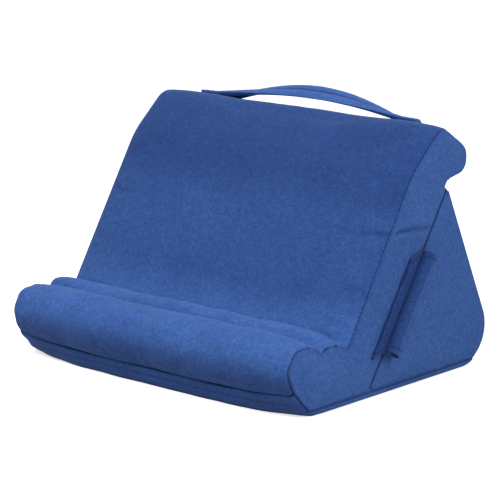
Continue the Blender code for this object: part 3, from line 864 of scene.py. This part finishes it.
def end_panel(name, section, side, fold=None):
    bm = bmesh.new()
    lining = [bm.verts.new((0.0, 0.0, 0.0)) for p in section]
    face = bm.faces.new(lining)
    for i, (outward, inward) in enumerate(PANEL_RIM):
        if i:
            face = bmesh.ops.extrude_discrete_faces(bm, faces=[face])["faces"][0]
        for vert, point in zip(face.verts, inset(section, inward)):
            vert.co = Vector((HALF_WIDTH - PANEL_CLOTH + outward, point.x + SHIFT_Y, point.y)) * MM
    bm.faces.new(lining[::-1])
    level = face.verts[0].co.x - 1e-6
    lows = [min(v.co[axis] for v in face.verts) for axis in range(3)]
    highs = [max(v.co[axis] for v in face.verts) for axis in range(3)]
    for axis in (1, 2):
        normal = Vector([float(i == axis) for i in range(3)])
        for step in range(1, int((highs[axis] - lows[axis]) / (PANEL_GRID * MM)) + 1):
            flat = [f for f in bm.faces if all(v.co.x > level for v in f.verts)]
            edges = list({e for f in flat for e in f.edges})
            geom = flat + edges + list({v for f in flat for v in f.verts})
            spot = normal * (lows[axis] + step * PANEL_GRID * MM)
            bmesh.ops.bisect_plane(bm, geom=geom, dist=1e-6, plane_co=spot, plane_no=normal)
    rim = near_to([(HALF_WIDTH, p.x + SHIFT_Y, p.y) for p in spaced(section + section[:1], RIM_POINTS)])
    seam_and_painted_shade = layer_of(bm, "seam_and_painted_shade")
    for vert in bm.verts:
        # Painted shade along the seam at the panel's rim
        vert[seam_and_painted_shade] = RIM_SHADE * math.exp(-(rim(vert) / RIM_SHADE_WIDTH) ** 4)
        if vert.co.x < level:
            continue
        x, y, z = vert.co / MM
        away = rim(vert) - PANEL_RIM[-1][1]
        wave = PANEL_WAVE * noise.noise(Vector((side, y / PANEL_WAVE_RUN, z / PANEL_WAVE_RUN)))
        rise = PANEL_CROWN * (1 - math.exp(-away / CROWN_RUN)) + wave
        ripple = noise.noise(Vector((side, y / RIM_WAVE_RUN, z / RIM_WAVE_RUN)))
        rise += PANEL_WAVE * math.exp(-away / RIM_WAVE_REACH) * ripple
        if fold:
            middle = (Vector((y, z)) - Vector(LOBE_MIDDLE)).length / LOBE_REACH
            rise += LOBE_BULGE * math.exp(-middle ** 2) * (1 - math.exp(-away / 6))
            rise += sum(gathers(y - spot[0], z - spot[1]) for spot in GATHERED)
            start, end = Vector(fold[0]), Vector(fold[1])
            along = (Vector((y, z)) - start).dot((end - start).normalized())
            length = (end - start).length
            off = (z - fold[0][1]) - (fold[1][1] - fold[0][1]) * along / length
            fades = 1 / (1 + math.exp((along - length - 4) / 2)) / (1 + math.exp((-along - 3) / 2))
            low, high = (tall * math.exp(-((off - beside) / wide) ** 2) for tall, beside, wide in FOLD_ROLLS)
            rise += fades * (low - FOLD_DEPTH * math.exp(-(off / FOLD_WIDTH) ** 2) + high)
            # Painted shade in the fold
            vert[seam_and_painted_shade] = max(vert[seam_and_painted_shade], FOLD_SHADE * fades * math.exp(-(off / FOLD_LINE) ** 2))
        vert.co.x += rise * min(1.0, away / 3) * MM
    if side < 0:
        bmesh.ops.scale(bm, vec=(-1.0, 1.0, 1.0), verts=bm.verts)
        uneven(bm)
    bmesh.ops.recalc_face_normals(bm, faces=bm.faces)
    return finished(name, bm)


def panel_corner(point, way):
    """A point of a cushion's end outline as its end panel has it: above the base's seam, and
    on the crease moved towards the other cushion, which closes the crease."""
    out = point.y * math.cos(LEAN) - point.x * math.sin(LEAN)
    if abs(out) < 0.5:
        point = point + Vector((-math.sin(LEAN), math.cos(LEAN))) * way * CREASE_COVER
    return Vector((point.x, max(point.y, BASE_SEAM)))


end_outlines = {"front": outline(front_corners(0.0), FRONT_STEPS),
                "rear": outline(rear_corners(0.0, BASE_SEAM), REAR_STEPS)}
for word, section in end_outlines.items():
    way = -1 if word == "front" else 1
    cut = [panel_corner(point, way) for point in section]
    for side, hand in ((1, "right"), (-1, "left")):
        panel = end_panel(word + "_end_" + hand, cut, side, FOLD if word == "front" else None)
        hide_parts(word + "_end_panel_" + hand)


# Rear cushion
# A wedge of foam behind the backrest. Its panel runs from the base round the rear corner, up
# the back slope and over the top into the crease behind the front cushion.
BASE_LAST = 0.25
REAR_SEAM_WIDTH = 1.6


def rear_section(x, depth=0.0):
    return inset(outline(rear_corners(full_at(x)), REAR_STEPS), depth)


def rear_body(x, depth):
    base_end = rear_mark("rear_foot", BASE_LAST)
    ring = rear_section(x, depth + BASE_CLOTH)[:base_end] + rear_section(x, depth)[base_end:]
    apex = rear_mark("apex")
    return [(x, p.x + SHIFT_Y + (CREASE_GAP if i > apex else 0.0), max(p.y, BASE_CLOTH + BASE_CLEAR))
            for i, p in enumerate(ring)]


bm = loft([rear_body(x, depth) for x, depth in places])
ring_of = bm.verts.layers.int["ring"]
place_of = bm.verts.layers.int["place"]
swell(bm, lambda v: min(v[ring_of], len(places) - 1 - v[ring_of]) < ROUNDING_STEPS
      or v[place_of] < rear_mark("rear_foot", BASE_LAST) or v[place_of] > rear_mark("apex"))
bm = capped(smoothed(bm))
puckered(bm)
distance = near_to(end_row(rear_section, WRAP_ROUNDING))
seam_and_painted_shade = layer_of(bm, "seam_and_painted_shade")
for vert in bm.verts:
    # Painted shade along the end seams' grooves
    vert[seam_and_painted_shade] = math.exp(-(distance(vert) / REAR_SEAM_WIDTH) ** 2)
rear_cushion = finished("rear_cushion", bm)
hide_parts("rear_back_panel", "rear_foam")


# Base
# One panel of the same velvet under both cushions. Its sides turn up round the edge of the
# foam and meet the end panels in a seam a few millimetres above the floor.
BASE_TURN = 3.4
BASE_TURN_DEG = 140.0
BASE_TURN_STEPS = 8
BASE_FIRST = 0.35
BASE_ROWS = 70
BASE_COLUMNS = 60
BASE_LINE_ABOVE = 0.8
BASE_LINE_WIDTH = 1.2
BASE_LINE_SHADE = 0.7


def base_path(x, depth):
    front = front_section(x, depth)[front_mark("foot", BASE_FIRST):]
    rear = rear_section(x, depth)[rear_mark("toe", 1.0):rear_mark("rear_foot", BASE_LAST) + 1]
    return spaced(front + rear, BASE_ROWS)


turns = [math.radians(BASE_TURN_DEG) * i / BASE_TURN_STEPS for i in range(1, BASE_TURN_STEPS + 1)]
tip = [(HALF_WIDTH - BASE_TURN * (1 - math.sin(t)), BASE_TURN * (1 - math.cos(t))) for t in turns]
inner = HALF_WIDTH - BASE_TURN
middle = [(-inner + 2 * inner * i / BASE_COLUMNS, 0.0) for i in range(BASE_COLUMNS + 1)]
bases = [(-x, depth) for x, depth in tip[::-1]] + middle + tip
bm = capped(smoothed(loft([strip_ring(x, base_path(x, depth), BASE_CLOTH) for x, depth in bases])))
seam_and_painted_shade = layer_of(bm, "seam_and_painted_shade")
for vert in bm.verts:
    x, y, z = vert.co / MM
    if abs(x) > HALF_WIDTH - BASE_TURN:
        # Painted shade along the seam above the base's turned-up edge
        vert[seam_and_painted_shade] = BASE_LINE_SHADE * math.exp(-((z - BASE_SEAM - BASE_LINE_ABOVE) / BASE_LINE_WIDTH) ** 2)
base = finished("underside", bm)
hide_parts("base_panel")


# Carry handle
# A strip of the velvet folded into a flat strap and sewn down its middle. It arches over the
# ridge, and each end lies flat on the ridge, held by a sewn box.
HANDLE_SPAN = 212.0
HANDLE_TAB = 14.0
HANDLE_WIDTH = 18.0
HANDLE_THICKNESS = 4.6
HANDLE_RISE = 14.0
HANDLE_FORWARD = 6.0
HANDLE_LEAN = 8.0
HANDLE_TILT = math.radians(20.0)
HANDLE_LIFT = 2.2
HANDLE_STEPS = 90
ARCH_POWER = 1.2
STRAP_SEAM_SHADE = 0.9
STRAP_SEAM_WIDTH = 1.7
BOX_INSET = 2.0
BOX_TAB_INSET = 1.0
BOX_STEPS = 8
BOX_SEAT = 0.66
STRAP_POINTS = 28
THREAD = "#2A427C"
STITCH_LENGTH = 2.6
STITCH_GAP = 1.2
STITCH_WIDTH = 0.5


def handle_place(x, across=0.0, above=0.0):
    """Point of the strap at x, some way across its width and above its middle."""
    full = full_at(x)
    corners = front_corners(full)
    back = Vector(corners[FRONT_NAMES.index("lobe_top")][:2])
    front = Vector(corners[FRONT_NAMES.index("ridge")][:2])
    along = math.atan2(back.y - front.y, back.x - front.x)
    reach = HANDLE_SPAN / 2 - HANDLE_TAB
    spread = max(0.0, 1 - (x / reach) ** 2)
    arch = max(0.0, 1 - ((x - HANDLE_LEAN * spread) / reach) ** 2) ** ARCH_POWER
    seat = back.lerp(front, 0.5) + Vector((-math.sin(along), math.cos(along))) * HANDLE_LIFT
    seat += Vector((-HANDLE_FORWARD, HANDLE_RISE)) * arch
    turn = mix(along, HANDLE_TILT, arch)
    seat += Vector((math.cos(turn), math.sin(turn))) * across
    seat += Vector((-math.sin(turn), math.cos(turn))) * above
    return (x, seat.x + SHIFT_Y, seat.y)


def strap_ring(x):
    half = HANDLE_WIDTH / 2 * (1 + 0.03 * noise.noise(Vector((x / 16.0, 1.0, 0.0))))
    ring = []
    for i in range(STRAP_POINTS):
        turn = 2 * math.pi * i / STRAP_POINTS
        across = math.cos(turn)
        puff = (0.3 + 0.7 * math.sin(math.pi * abs(across)) ** 0.7) * (1 - abs(across) ** 6) ** 0.5
        above = HANDLE_THICKNESS / 2 * puff * math.copysign(1.0, math.sin(turn))
        if abs(math.sin(turn)) < 1e-6:
            above = 0.0
        ring.append(handle_place(x, half * across, above))
    return ring


def thread_material():
    material = bpy.data.materials.new("polyester_thread")
    material.use_nodes = True
    tree = material.node_tree
    tree.nodes.clear()
    place = add(tree, "ShaderNodeTexCoord").outputs["Object"]
    twist = add(tree, "ShaderNodeTexWave", Vector=place, Scale=900.0, Distortion=1.0).outputs["Fac"]
    bump = add(tree, "ShaderNodeBump", Strength=0.3, Distance=0.1 * MM, Height=twist).outputs["Normal"]
    shader = add(tree, "ShaderNodeBsdfPrincipled", Base_Color=colour(THREAD), Roughness=0.55,
                 Normal=bump)
    add(tree, "ShaderNodeOutputMaterial", Surface=shader.outputs[0])
    return material


blue_thread = thread_material()


def stitches(name, rows):
    """Rows of thread stitches, each a small bead of thread laid along its row of points."""
    bm = bmesh.new()
    for points in rows:
        path = [Vector(p) for p in points]
        lengths = [0.0]
        for before, after in zip(path, path[1:]):
            lengths.append(lengths[-1] + (after - before).length)
        count = int(lengths[-1] / (STITCH_LENGTH + STITCH_GAP))
        j = 0
        for i in range(count):
            goal = (i + 0.5) * lengths[-1] / count
            while j < len(path) - 2 and lengths[j + 1] < goal:
                j += 1
            ahead = (path[j + 1] - path[j]).normalized()
            middle = path[j].lerp(path[j + 1], (goal - lengths[j]) / (lengths[j + 1] - lengths[j]))
            bead = bmesh.ops.create_icosphere(bm, subdivisions=1, radius=0.5)["verts"]
            size = Matrix.Diagonal((STITCH_WIDTH * MM, STITCH_WIDTH * MM, STITCH_LENGTH * MM, 1.0))
            turn = ahead.to_track_quat("Z", "Y").to_matrix().to_4x4()
            bmesh.ops.transform(bm, matrix=Matrix.Translation(middle * MM) @ turn @ size, verts=bead)
    return finished(name, bm, blue_thread)


half_span = HANDLE_SPAN / 2
strap_places = [half_span * (2 * i / HANDLE_STEPS - 1) for i in range(HANDLE_STEPS + 1)]
bm = capped(smoothed(loft([strap_ring(x) for x in strap_places])))
middle_seam = near_to([handle_place(half_span * (i / 150 - 1)) for i in range(301)])
seam_and_painted_shade = layer_of(bm, "seam_and_painted_shade")
for vert in bm.verts:
    # Painted shade in the middle seam's groove
    vert[seam_and_painted_shade] = STRAP_SEAM_SHADE * math.exp(-(middle_seam(vert) / STRAP_SEAM_WIDTH) ** 4)
handle = finished("carry_strap", bm)
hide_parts("carry_handle")
boxes = []
for side in (-1, 1):
    outer = side * (half_span - BOX_INSET)
    inner = side * (half_span - HANDLE_TAB + BOX_TAB_INSET)
    edge = HANDLE_WIDTH / 2 - BOX_INSET
    spots = [outer + (inner - outer) * i / BOX_STEPS for i in range(BOX_STEPS + 1)]
    over = HANDLE_THICKNESS / 2 * BOX_SEAT
    boxes.append([handle_place(x, edge, over) for x in spots])
    boxes.append([handle_place(x, -edge, over) for x in spots])
    for x in (outer, inner):
        boxes.append([handle_place(x, edge * (2 * i / BOX_STEPS - 1), over) for i in range(BOX_STEPS + 1)])
stitches("strap_stitches", boxes)


# Side sleeve
# A strip of the velvet folded over into a narrow tube, with both edges laid together as a
# flange and sewn to the right end of the cushion. Its two mouths are hemmed.
SLEEVE_BOTTOM = 37.0
SLEEVE_LENGTH = 79.0
SLEEVE_BEHIND = 2.6
SLEEVE_WIDTH = 12.5
SLEEVE_HEIGHT = 10.5
SLEEVE_ROUND = 4.6
SLEEVE_CLOTH = 1.0
SLEEVE_HEM = 4.5
FLANGE_WIDTH = 9.5
FLANGE_SLANT = 1.1
FLANGE_LIFT = 1.4
FLANGE_FOLD_RADIUS = 1.2
SLEEVE_STEPS = 36
SLEEVE_ROUND_STEPS = 56
SLEEVE_FRONT = SLEEVE_WIDTH / 2 - SLEEVE_CLOTH / 2 - SLEEVE_BEHIND
HEM_THICKNESS = 0.5


def open_path(corners):
    """An even path through (a, b, radius) corners from the first to the last."""
    points = [Vector(corners[0][:2])]
    for i in range(1, len(corners) - 1):
        arc = arc_at(corners, i)
        points.extend(on_arc(arc, step / 8) for step in range(9))
    points.append(Vector(corners[-1][:2]))
    return spaced(points, SLEEVE_ROUND_STEPS)


def sleeve_path(up):
    """The sleeve's cloth at one height, as (out, x) points: flange, round the tube, flange."""
    wall = HALF_WIDTH + FLANGE_LIFT
    squash = 1.0 - 0.1 * math.sin(math.pi * (up - SLEEVE_BOTTOM) / SLEEVE_LENGTH)
    back = -SLEEVE_WIDTH / 2 + SLEEVE_CLOTH / 2 - SLEEVE_BEHIND
    crown = wall + (SLEEVE_HEIGHT - SLEEVE_CLOTH) * squash
    layer = wall + SLEEVE_CLOTH + 0.4
    flange = SLEEVE_FRONT + FLANGE_WIDTH
    return open_path([(flange, wall, 0.0), (back, wall, SLEEVE_ROUND), (back, crown, SLEEVE_ROUND),
                      (SLEEVE_FRONT, crown, SLEEVE_ROUND), (SLEEVE_FRONT, layer, FLANGE_FOLD_RADIUS),
                      (flange, layer, 0.0)])


def sleeve_point(up, out, x):
    y, z = slab(up - FLANGE_SLANT * max(0.0, out - SLEEVE_FRONT), out)
    return (x, y + SHIFT_Y, z)


def sleeve_ring(up):
    path = sleeve_path(up)
    end = min(up - SLEEVE_BOTTOM, SLEEVE_BOTTOM + SLEEVE_LENGTH - up)
    hem = HEM_THICKNESS if end < SLEEVE_HEM else 0.0
    ring = []
    for way, thick in ((1, SLEEVE_CLOTH / 2), (-1, -SLEEVE_CLOTH / 2 - hem)):
        side = []
        for i, p in enumerate(path):
            tangent = (path[min(i + 1, len(path) - 1)] - path[max(i - 1, 0)]).normalized()
            q = p + Vector((-tangent.y, tangent.x)) * thick
            wrinkle = 0.6 * noise.noise(Vector((q.x / 4, q.y / 4, up / 14)))
            side.append(sleeve_point(up, q.x, q.y + wrinkle))
        ring.extend(side[::way])
    return ring


heights = [SLEEVE_BOTTOM + SLEEVE_LENGTH * i / SLEEVE_STEPS for i in range(SLEEVE_STEPS + 1)]
bm = loft([sleeve_ring(up) for up in heights])
bm = capped(smoothed(bm))
hinge = near_to([sleeve_point(up, SLEEVE_FRONT + 0.5, HALF_WIDTH + FLANGE_LIFT + SLEEVE_CLOTH + 1.0)
                 for up in [SLEEVE_BOTTOM + SLEEVE_LENGTH * i / 150 for i in range(151)]])
seam_and_painted_shade = layer_of(bm, "seam_and_painted_shade")
pile_painted_shade = layer_of(bm, "pile_painted_shade")
for vert in bm.verts:
    y, z = vert.co.y / MM - SHIFT_Y, vert.co.z / MM
    up = y * math.cos(LEAN) + z * math.sin(LEAN)
    out = z * math.cos(LEAN) - y * math.sin(LEAN)
    up += FLANGE_SLANT * max(0.0, out - SLEEVE_FRONT)
    from_end = min(up - SLEEVE_BOTTOM, SLEEVE_BOTTOM + SLEEVE_LENGTH - up)
    # Painted shade along the hem lines
    hem_line = 0.6 * math.exp(-((from_end - SLEEVE_HEM) / 0.7) ** 2)
    # Painted shade along the fold line between the flange and the tube
    vert[seam_and_painted_shade] = max(0.8 * math.exp(-(hinge(vert) / 1.3) ** 2), hem_line)
    # Painted shade on the flange and on the tube's far side, and a painted highlight along the tube's crown
    flange_shade = 1 / (1 + math.exp((SLEEVE_FRONT - 2.5 - out) / 0.9))
    far_side_shade = 1 / (1 + math.exp((out - SLEEVE_FRONT + SLEEVE_WIDTH - 3.5) / 0.8))
    crown = math.exp(-((out - SLEEVE_FRONT + SLEEVE_WIDTH / 2) / 2.0) ** 2)
    vert[pile_painted_shade] = max(mix(0.5 - 0.45 * crown, 0.8, flange_shade), 0.9 * far_side_shade)
sleeve = finished("side_loop", bm)
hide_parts("side_sleeve")


# Back pocket
# A flat pocket of the same velvet on the back slope, sewn along its sides and bottom, with a
# sewn-on hem along its open top.
POCKET_WIDTH = 200.0
POCKET_START = 0.06
POCKET_END = 0.84
POCKET_MOUTH = 9.0
HEM_WIDTH = 10.0
POCKET_CLOTH = 1.0
POCKET_LIFT = 1.4
POCKET_ROWS = 34
POCKET_COLUMNS = 76
HEM_ROWS = 6
HEM_OVER = 0.004
HEM_STITCH_IN = 0.012
HEM_STITCH_POINTS = 120


def slope_point(x, share, out):
    """Point a share of the way up the straight back slope and some way out from it."""
    corners = rear_corners(full_at(x))
    low = on_arc(arc_at(corners, 1), 1.0)
    high = on_arc(arc_at(corners, 2), 0.0)
    up = (high - low).normalized()
    return low.lerp(high, share) + Vector((up.y, -up.x)) * out


def pocket_out(x, share):
    """How far the pocket stands off: little at its seams, most at its mouth."""
    rise = (share - POCKET_START) / (POCKET_END - POCKET_START)
    side = 1 - (2 * x / POCKET_WIDTH) ** 4
    swell_there = SWELL_CAP * (1 - (2 * x / POCKET_WIDTH) ** 8)
    sag = 0.8 * noise.noise(Vector((x / 30, share * 4, 5.0)))
    return POCKET_LIFT + swell_there + POCKET_MOUTH * side * rise ** 2 + sag * side


def pocket_rings(first, last, stand_off, thickness, rows):
    rings = []
    for i in range(POCKET_COLUMNS + 1):
        x = POCKET_WIDTH / 2 * math.sin(math.pi / 2 * (2 * i / POCKET_COLUMNS - 1))
        path = []
        for step in range(rows + 1):
            share = mix(first, last, step / rows)
            path.append(slope_point(x, share, stand_off + pocket_out(x, share)))
        rings.append(strip_ring(x, path, thickness))
    return rings


slope_length = (slope_point(0.0, 1.0, 0.0) - slope_point(0.0, 0.0, 0.0)).length
hem_start = POCKET_END - HEM_WIDTH / slope_length
bm = capped(smoothed(loft(pocket_rings(POCKET_START, POCKET_END, 0.0, POCKET_CLOTH, POCKET_ROWS))))
pocket = finished("pocket_cloth", bm)
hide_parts("back_pocket")
hem_rings = pocket_rings(hem_start, POCKET_END + HEM_OVER, POCKET_CLOTH + 0.3, POCKET_CLOTH, HEM_ROWS)
bm = capped(smoothed(loft(hem_rings)))
hem = finished("pocket_edge", bm)
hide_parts("pocket_hem")
hem_rows = []
for share in (hem_start + HEM_STITCH_IN, POCKET_END - HEM_STITCH_IN):
    row_points = []
    for i in range(HEM_STITCH_POINTS + 1):
        x = (POCKET_WIDTH / 2 - 2) * (2 * i / HEM_STITCH_POINTS - 1)
        p = slope_point(x, share, POCKET_CLOTH + 0.4 + pocket_out(x, share))
        row_points.append((x, p.x + SHIFT_Y, p.y))
    hem_rows.append(row_points)
stitches("hem_stitches", hem_rows)

boxes = [[[float(c) for c in corner] for corner in box] for box in (solids_box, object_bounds())]
